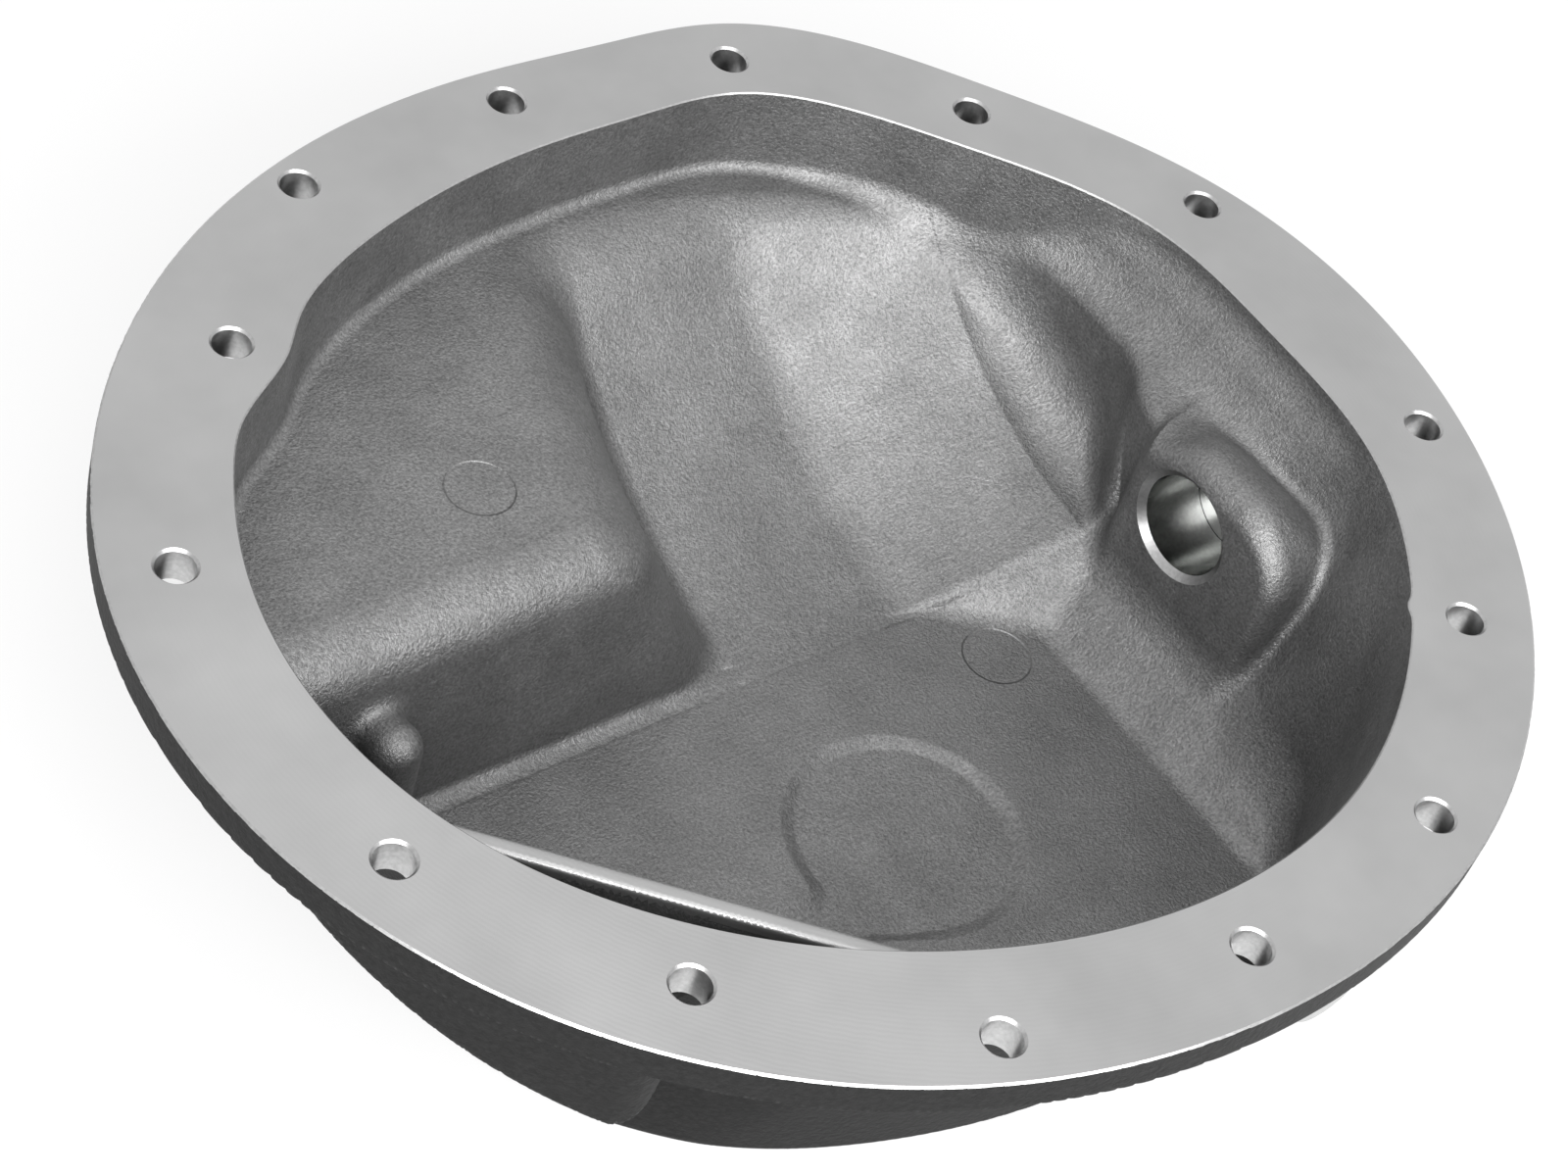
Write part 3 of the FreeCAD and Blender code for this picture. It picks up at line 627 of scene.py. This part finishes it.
def curve_ring(curve, grow, level):
    """Points on a closed curve, moved out by grow, at one level."""
    fine, radius = curve
    angle = np.linspace(0, math.tau, RING_POINTS, endpoint=False)
    reach = np.interp(angle, fine, radius) + grow
    return [(r * math.cos(a), r * math.sin(a), level) for r, a in zip(reach, angle)]


def joined(things):
    """Several loose things as one."""
    with bpy.context.temp_override(
        active_object=things[0], selected_editable_objects=things, selected_objects=things
    ):
        bpy.ops.object.join()
    return things[0]


def machine_away(thing, tools):
    """Cuts each tool out of the thing, and does away with the tool."""
    for tool in tools:
        step = thing.modifiers.new("machining", "BOOLEAN")
        step.operation = "DIFFERENCE"
        step.solver = "MANIFOLD"
        step.object = tool
    depsgraph = bpy.context.evaluated_depsgraph_get()
    result = bpy.data.meshes.new_from_object(thing.evaluated_get(depsgraph))
    thing.modifiers.clear()
    thing.data = result
    for tool in tools:
        bpy.data.objects.remove(tool)


def face_mill():
    """What the milling of the flange face takes away, with both edges broken."""
    rings = [
        curve_ring(OPENING, -MILL_OVERLAP, -OPENING_CHAMFER - MILL_OVERLAP),
        curve_ring(OPENING, OPENING_CHAMFER, 0.0),
        curve_ring(RIM, -RIM_CHAMFER, 0.0),
        curve_ring(RIM, MILL_CLEARANCE, -RIM_CHAMFER - MILL_CLEARANCE),
        curve_ring(RIM, MILL_CLEARANCE, STOCK + MILL_HEIGHT),
    ]
    return ring_solid("face_mill", rings)


def bolt_drill(number, bolt):
    """One drilled and broken hole with the spot face under the flange."""
    radius = BOLT_HOLE / 2
    deep = FLANGE_THICKNESS
    profile = [
        (-DRILL_RUN, radius + HOLE_CHAMFER + DRILL_RUN),
        (HOLE_CHAMFER, radius),
        (deep, radius),
        (deep, SPOT_FACE / 2),
        (deep + SPOT_FACE_RUN, SPOT_FACE / 2),
    ]
    return turned_solid(f"drill_{number}", (bolt[0], bolt[1], 0), (0, 0, -1), profile)


def fill_drill():
    """The bored and broken fill hole."""
    deep = FILL_SEAT_X - FILL_FACE_X
    profile = [
        (-FILL_DRILL_BEFORE, FILL_MOUTH / 2),
        (0.0, FILL_MOUTH / 2),
        (FILL_MOUTH_DEPTH, FILL_BORE / 2),
        (deep + FILL_DRILL_BEYOND, FILL_BORE / 2),
    ]
    start = (FILL_FACE_X, FILL_AXIS[0], FILL_AXIS[1])
    return turned_solid("fill_drill", start, (1, 0, 0), profile, FILL_DRILL_SIDES)


def drain_drill():
    """The bored drain hole."""
    profile = [(-DRAIN_DRILL_BEFORE, DRAIN_BORE / 2), (DRAIN_DRILL_LENGTH, DRAIN_BORE / 2)]
    start = (DRAIN_AXIS[0], DRAIN_SEAT_Y, DRAIN_AXIS[1])
    return turned_solid("drain_drill", start, (0, 1, 0), profile)


def nodes_of(material):
    """The material's node tree, emptied, with its output and shader."""
    material.use_nodes = True
    tree = material.node_tree
    tree.nodes.clear()
    output = tree.nodes.new("ShaderNodeOutputMaterial")
    shader = tree.nodes.new("ShaderNodeBsdfPrincipled")
    tree.links.new(shader.outputs["BSDF"], output.inputs["Surface"])
    return tree, shader


def noise(tree, coordinates, scale, detail=2.0, roughness=0.5):
    """A noise at a scale per metre on the object's own coordinates."""
    node = tree.nodes.new("ShaderNodeTexNoise")
    node.inputs["Scale"].default_value = scale
    node.inputs["Detail"].default_value = detail
    node.inputs["Roughness"].default_value = roughness
    tree.links.new(coordinates, node.inputs["Vector"])
    return node.outputs["Fac"]


def ramp(tree, value, stops):
    """Colours along a value."""
    node = tree.nodes.new("ShaderNodeValToRGB")
    elements = node.color_ramp.elements
    while len(elements) < len(stops):
        elements.new(0.5)
    for element, (position, colour) in zip(elements, stops):
        element.position = position
        element.color = (*colour, 1)
    tree.links.new(value, node.inputs["Fac"])
    return node.outputs["Color"]


def bump(tree, height, strength, distance, under=None):
    """A bump from a height, over another one if given."""
    node = tree.nodes.new("ShaderNodeBump")
    node.inputs["Strength"].default_value = strength
    node.inputs["Distance"].default_value = distance
    tree.links.new(height, node.inputs["Height"])
    if under is not None:
        tree.links.new(under, node.inputs["Normal"])
    return node.outputs["Normal"]


def grey(level, tint=(1, 1, 1)):
    """A grey with a slight tint."""
    return tuple(level * t for t in tint)


def object_coordinates(tree):
    """The object's own coordinates."""
    return tree.nodes.new("ShaderNodeTexCoord").outputs["Object"]


def pin_mark(tree, at, centre, radius):
    """The thin round mark that a pin leaves: 0 inside it and 1 outside."""
    flat = tree.nodes.new("ShaderNodeVectorMath")
    flat.operation = "MULTIPLY"
    flat.inputs[1].default_value = (1, 1, 0)
    tree.links.new(at, flat.inputs[0])
    away = tree.nodes.new("ShaderNodeVectorMath")
    away.operation = "DISTANCE"
    away.inputs[1].default_value = (centre[0] * MM, centre[1] * MM, 0)
    tree.links.new(flat.outputs[0], away.inputs[0])
    step = tree.nodes.new("ShaderNodeMapRange")
    step.interpolation_type = "SMOOTHSTEP"
    step.inputs["From Min"].default_value = (radius - PIN_MARK_EDGE) * MM
    step.inputs["From Max"].default_value = (radius + PIN_MARK_EDGE) * MM
    tree.links.new(away.outputs["Value"], step.inputs["Value"])
    return step.outputs["Result"]


def sand_cast():
    """Bare sand-cast metal: mottled grey with a fine sparkling grain."""
    material = bpy.data.materials.new("sand_cast_aluminium")
    tree, shader = nodes_of(material)
    at = object_coordinates(tree)
    blotch = ramp(tree, noise(tree, at, scale=55, detail=4), [(0.3, grey(0.17)), (0.7, grey(0.215))])
    speck = noise(tree, at, scale=GRAIN_SCALE, detail=2, roughness=0.75)
    sparkle = ramp(tree, speck, [(0.25, grey(0.6)), (0.5, grey(1.0)), (0.78, grey(1.5))])
    mixed = tree.nodes.new("ShaderNodeMix")
    mixed.data_type = "RGBA"
    mixed.blend_type = "MULTIPLY"
    mixed.inputs["Factor"].default_value = 1.0
    tree.links.new(blotch, mixed.inputs["A"])
    tree.links.new(sparkle, mixed.inputs["B"])
    tree.links.new(mixed.outputs["Result"], shader.inputs["Base Color"])
    shader.inputs["Metallic"].default_value = 0.85
    rough = ramp(tree, noise(tree, at, scale=90, detail=3), [(0.3, grey(0.44)), (0.7, grey(0.56))])
    tree.links.new(rough, shader.inputs["Roughness"])
    patches = noise(tree, at, scale=300, detail=2, roughness=0.6)
    relief = bump(tree, patches, strength=0.35, distance=0.0006)
    relief = bump(tree, speck, strength=0.7, distance=0.0004, under=relief)
    for centre, radius in PIN_MARKS:
        mark = pin_mark(tree, at, centre, radius)
        relief = bump(tree, mark, strength=1.0, distance=PIN_MARK_DEPTH * MM, under=relief)
    tree.links.new(relief, shader.inputs["Normal"])
    return material


def milled():
    """The milled flange face: satin, with faint cutter arcs and haze."""
    material = bpy.data.materials.new("milled_face")
    tree, shader = nodes_of(material)
    at = object_coordinates(tree)
    haze = noise(tree, at, scale=16, detail=4, roughness=0.6)
    colour = ramp(tree, haze, [(0.3, grey(0.37)), (0.5, grey(0.41)), (0.72, grey(0.45))])
    tree.links.new(colour, shader.inputs["Base Color"])
    shader.inputs["Metallic"].default_value = 0.9
    rough = ramp(tree, noise(tree, at, scale=40, detail=3), [(0.3, grey(0.34)), (0.7, grey(0.44))])
    tree.links.new(rough, shader.inputs["Roughness"])
    arcs = tree.nodes.new("ShaderNodeTexWave")
    arcs.wave_type = "RINGS"
    arcs.rings_direction = "Z"
    arcs.inputs["Scale"].default_value = 260
    arcs.inputs["Distortion"].default_value = 3.0
    arcs.inputs["Detail"].default_value = 2.0
    tree.links.new(at, arcs.inputs["Vector"])
    scratches = bump(tree, arcs.outputs["Fac"], strength=0.12, distance=0.00006)
    tree.links.new(scratches, shader.inputs["Normal"])
    return material


def cut_metal(name, tint, level, rough):
    """Bright cut metal with fine tool lines, for edges and bores."""
    material = bpy.data.materials.new(name)
    tree, shader = nodes_of(material)
    at = object_coordinates(tree)
    fine = noise(tree, at, scale=900, detail=3, roughness=0.6)
    low, high = grey(level * 0.85, tint), grey(level * 1.15, tint)
    colour = ramp(tree, fine, [(0.3, low), (0.7, high)])
    tree.links.new(colour, shader.inputs["Base Color"])
    shader.inputs["Metallic"].default_value = 1.0
    shader.inputs["Roughness"].default_value = rough
    lines = bump(tree, fine, strength=0.2, distance=0.00005)
    tree.links.new(lines, shader.inputs["Normal"])
    return material


def dark_coat():
    """The dark textured coat on the outside."""
    material = bpy.data.materials.new("dark_coat")
    tree, shader = nodes_of(material)
    at = object_coordinates(tree)
    speck = noise(tree, at, scale=700, detail=3, roughness=0.6)
    colour = ramp(tree, speck, [(0.35, grey(0.006)), (0.7, grey(0.012))])
    tree.links.new(colour, shader.inputs["Base Color"])
    shader.inputs["Roughness"].default_value = 0.6
    shader.inputs["Specular IOR Level"].default_value = 0.15
    grain = bump(tree, speck, strength=0.6, distance=0.0004)
    tree.links.new(grain, shader.inputs["Normal"])
    return material


def plated_steel():
    """The plated steel of the plugs, with faint turning lines."""
    material = bpy.data.materials.new("plated_steel")
    tree, shader = nodes_of(material)
    at = object_coordinates(tree)
    cloud = noise(tree, at, scale=150, detail=4, roughness=0.6)
    colour = ramp(tree, cloud, [(0.3, grey(0.4)), (0.7, grey(0.52))])
    tree.links.new(colour, shader.inputs["Base Color"])
    shader.inputs["Metallic"].default_value = 1.0
    rough = ramp(tree, cloud, [(0.3, grey(0.26)), (0.7, grey(0.4))])
    tree.links.new(rough, shader.inputs["Roughness"])
    rings = noise(tree, at, scale=1600, detail=2, roughness=0.5)
    turning = bump(tree, rings, strength=0.25, distance=0.00005)
    tree.links.new(turning, shader.inputs["Normal"])
    return material


def washer_rubber():
    """The black rubber of the sealing washers."""
    material = bpy.data.materials.new("washer_rubber")
    tree, shader = nodes_of(material)
    at = object_coordinates(tree)
    speck = noise(tree, at, scale=1200, detail=3, roughness=0.6)
    colour = ramp(tree, speck, [(0.3, grey(0.015)), (0.7, grey(0.03))])
    tree.links.new(colour, shader.inputs["Base Color"])
    shader.inputs["Roughness"].default_value = 0.7
    grain = bump(tree, speck, strength=0.4, distance=0.0001)
    tree.links.new(grain, shader.inputs["Normal"])
    return material


def fittings():
    """The plugs and their sealing washers, each in its own material."""
    steel, rubber = plated_steel(), washer_rubber()
    for name in ("fill_plug", "drain_plug"):
        bpy.data.objects[name].data.materials[0] = steel
        bpy.data.objects[name + "_seal"].data.materials[0] = rubber


def face_middles(mesh):
    """The middle of each face, in millimetres, and its normal."""
    count = len(mesh.polygons)
    centre = np.empty(count * 3)
    normal = np.empty(count * 3)
    mesh.polygons.foreach_get("center", centre)
    mesh.polygons.foreach_get("normal", normal)
    return centre.reshape(-1, 3) / MM, normal.reshape(-1, 3)


def face_finishes(centre, normal):
    """The finish of each face, from where it lies and how it faces; the bar's rounded top gets the
    milled finish as a painted highlight.
    """
    x, y, z = centre.T
    finish = np.where(np.abs(hollow(x, y, z)) < SKIN, CAST, COATED)
    finish[(z > -LEVEL_WITHIN) & (normal[:, 2] > LEVEL_NORMAL)] = MILLED
    # Painted highlight: the bar's rounded cast top is given the lighter milled finish, which stands
    # in for the light along it.
    painted_highlight_bar = np.abs(chord_wall(x, y, z) - BAR_WIDTH / 2) < BAR_WIDTH / 2 + BAR_HIGHLIGHT_WITHIN
    finish[painted_highlight_bar & (np.abs(z + MOUTH_DEPTH) < LEDGE_ROLL) & (finish == CAST)] = MILLED
    by_the_face = (z > -RIM_CHAMFER - EDGE_WITHIN) & (z < -LEVEL_WITHIN)
    finish[by_the_face & (normal[:, 2] > EDGE_NORMAL)] = EDGE
    for bolt in BOLTS:
        in_hole = np.hypot(x - bolt[0], y - bolt[1]) < BOLT_HOLE / 2 + EDGE_WITHIN
        finish[in_hole & (z > -FLANGE_THICKNESS - EDGE_WITHIN)] = EDGE
    to_axis = np.hypot(y - FILL_AXIS[0], z - FILL_AXIS[1])
    along = (x > FILL_FACE_X + BORE_WITHIN) & (x < FILL_SEAT_X + DRILL_RUN)
    finish[along & (to_axis < FILL_MOUTH / 2 + BORE_WITHIN)] = BORED
    mouth = (finish == BORED) & (x < FILL_FACE_X + FILL_MOUTH_DEPTH + EDGE_WITHIN)
    finish[mouth & (to_axis > FILL_BORE / 2 + EDGE_WITHIN)] = EDGE
    return finish


def smooth_normals(mesh, finish, centre, normal):
    """Exact shading normals: the field's own on cast faces, flat on the machined ones."""
    place = np.empty(len(mesh.vertices) * 3)
    mesh.vertices.foreach_get("co", place)
    place = place.reshape(-1, 3) / MM
    vertex = np.empty(len(mesh.loops), dtype=np.int32)
    mesh.loops.foreach_get("vertex_index", vertex)
    sizes = np.empty(len(mesh.polygons), dtype=np.int32)
    mesh.polygons.foreach_get("loop_total", sizes)
    face = np.repeat(np.arange(len(sizes)), sizes)
    # The bar's top wears the milled finish only as a painted highlight; its shape is cast, so it
    # keeps the field's normals.
    highlight_bar_top = (centre[:, 2] < -MOUTH_DEPTH / 2) & (finish == MILLED)
    cast = (np.isin(finish, (CAST, COATED)) | highlight_bar_top)[face]
    inside_face = place[vertex] + (centre[face] - place[vertex]) * TOWARDS_MIDDLE
    shading = normal[face]
    shading[cast] = directions(blank, inside_face[cast])
    agree = np.sum(shading * normal[face], axis=1)
    shading[agree < LEAST_AGREEMENT] = normal[face][agree < LEAST_AGREEMENT]
    mesh.normals_split_custom_set(shading.tolist())


def casting():
    """The whole casting as one closed mesh, each face in its own finish."""
    thing = field_mesh("casting", blank, BLANK_LOW, BLANK_HIGH, VOXEL)
    drills = [fill_drill(), drain_drill()] + [bolt_drill(n, b) for n, b in enumerate(BOLTS)]
    machine_away(thing, [face_mill(), joined(drills)])
    mesh = thing.data
    mesh.materials.clear()
    edge = cut_metal("bright_edge", (1, 1, 1), level=0.42, rough=0.34)
    bored = cut_metal("bored_metal", (0.98, 1.0, 0.97), level=0.36, rough=0.2)
    for material in (sand_cast(), milled(), edge, bored, dark_coat()):
        mesh.materials.append(material)
    centre, normal = face_middles(mesh)
    finish = face_finishes(centre, normal)
    mesh.polygons.foreach_set("material_index", finish.astype(np.int32))
    mesh.polygons.foreach_set("use_smooth", np.ones(len(finish), dtype=bool))
    mesh.update()
    smooth_normals(mesh, finish, centre, normal)
    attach(thing, "root")
    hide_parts("cover_casting")


def camera():
    """The photograph's camera."""
    data = bpy.data.cameras.new("camera")
    data.lens = CAMERA_LENS
    data.sensor_width = CAMERA_SENSOR
    data.clip_end = CAMERA_FAR_END
    thing = bpy.data.objects.new("camera", data)
    bpy.context.collection.objects.link(thing)
    back = -Vector(CAMERA_LOOKS).normalized()
    right = Vector(CAMERA_UP).cross(back).normalized()
    up = back.cross(right)
    turn = Matrix((right, up, back)).transposed()
    thing.matrix_world = Matrix.Translation(Vector(CAMERA_PLACE) * MM) @ turn.to_4x4()
    bpy.context.scene.camera = thing


def lamp(name, place, watts):
    """A soft square lamp that looks at the middle of the cover."""
    data = bpy.data.lights.new(name, "AREA")
    data.size = LAMP_SIZE
    data.energy = watts
    thing = bpy.data.objects.new(name, data)
    bpy.context.collection.objects.link(thing)
    thing.location = place
    thing.rotation_euler = (Vector() - Vector(place)).to_track_quat("-Z", "Y").to_euler()


def white_where_seen(tree, plain, level):
    """A strength of 1 for camera, glossy and transmission rays, and a level for the rest."""
    rays = tree.nodes.new("ShaderNodeLightPath")
    seen = rays.outputs["Is Camera Ray"]
    for kind in ("Is Glossy Ray", "Is Transmission Ray"):
        either = tree.nodes.new("ShaderNodeMath")
        either.operation = "MAXIMUM"
        tree.links.new(seen, either.inputs[0])
        tree.links.new(rays.outputs[kind], either.inputs[1])
        seen = either.outputs[0]
    mix = tree.nodes.new("ShaderNodeMix")
    mix.inputs["A"].default_value = level
    mix.inputs["B"].default_value = 1.0
    tree.links.new(seen, mix.inputs["Factor"])
    tree.links.new(mix.outputs["Result"], plain)


def surroundings():
    """White all round the cover."""
    world = bpy.data.worlds.new("studio")
    bpy.context.scene.world = world
    world.use_nodes = True
    tree = world.node_tree
    tree.nodes.clear()
    output = tree.nodes.new("ShaderNodeOutputWorld")
    light = tree.nodes.new("ShaderNodeBackground")
    light.inputs["Color"].default_value = (1, 1, 1, 1)
    tree.links.new(light.outputs["Background"], output.inputs["Surface"])
    white_where_seen(tree, light.inputs["Strength"], WORLD_LEVEL)


def pale_floor():
    """A wide pale floor under the cover, which keeps its shadow."""
    low, high, level = -FLOOR_HALF, FLOOR_HALF, CAD_BOX[0][2]
    corners = [(low, low, level), (high, low, level), (high, high, level), (low, high, level)]
    mesh = bpy.data.meshes.new("floor")
    mesh.from_pydata(corners, [], [(0, 1, 2, 3)])
    floor = bpy.data.objects.new("floor", mesh)
    bpy.context.collection.objects.link(floor)
    material = bpy.data.materials.new("floor_white")
    tree, shader = nodes_of(material)
    shader.inputs["Base Color"].default_value = (0.9, 0.9, 0.9, 1)
    shader.inputs["Roughness"].default_value = 0.9
    glow = tree.nodes.new("ShaderNodeEmission")
    mix = tree.nodes.new("ShaderNodeMixShader")
    output = next(n for n in tree.nodes if n.type == "OUTPUT_MATERIAL")
    rays = tree.nodes.new("ShaderNodeLightPath")
    share = tree.nodes.new("ShaderNodeMath")
    share.operation = "MULTIPLY"
    share.inputs[1].default_value = FLOOR_GLOW
    tree.links.new(rays.outputs["Is Camera Ray"], share.inputs[0])
    tree.links.new(share.outputs[0], mix.inputs["Fac"])
    tree.links.new(shader.outputs["BSDF"], mix.inputs[1])
    tree.links.new(glow.outputs["Emission"], mix.inputs[2])
    tree.links.new(mix.outputs["Shader"], output.inputs["Surface"])
    mesh.materials.append(material)


def studio():
    """White surroundings, a pale floor and soft lamps."""
    surroundings()
    pale_floor()
    for name, place, watts in LAMPS:
        lamp(name, place, watts)
    bpy.context.scene.view_settings.view_transform = "Standard"


camera()
casting()
fittings()
studio()
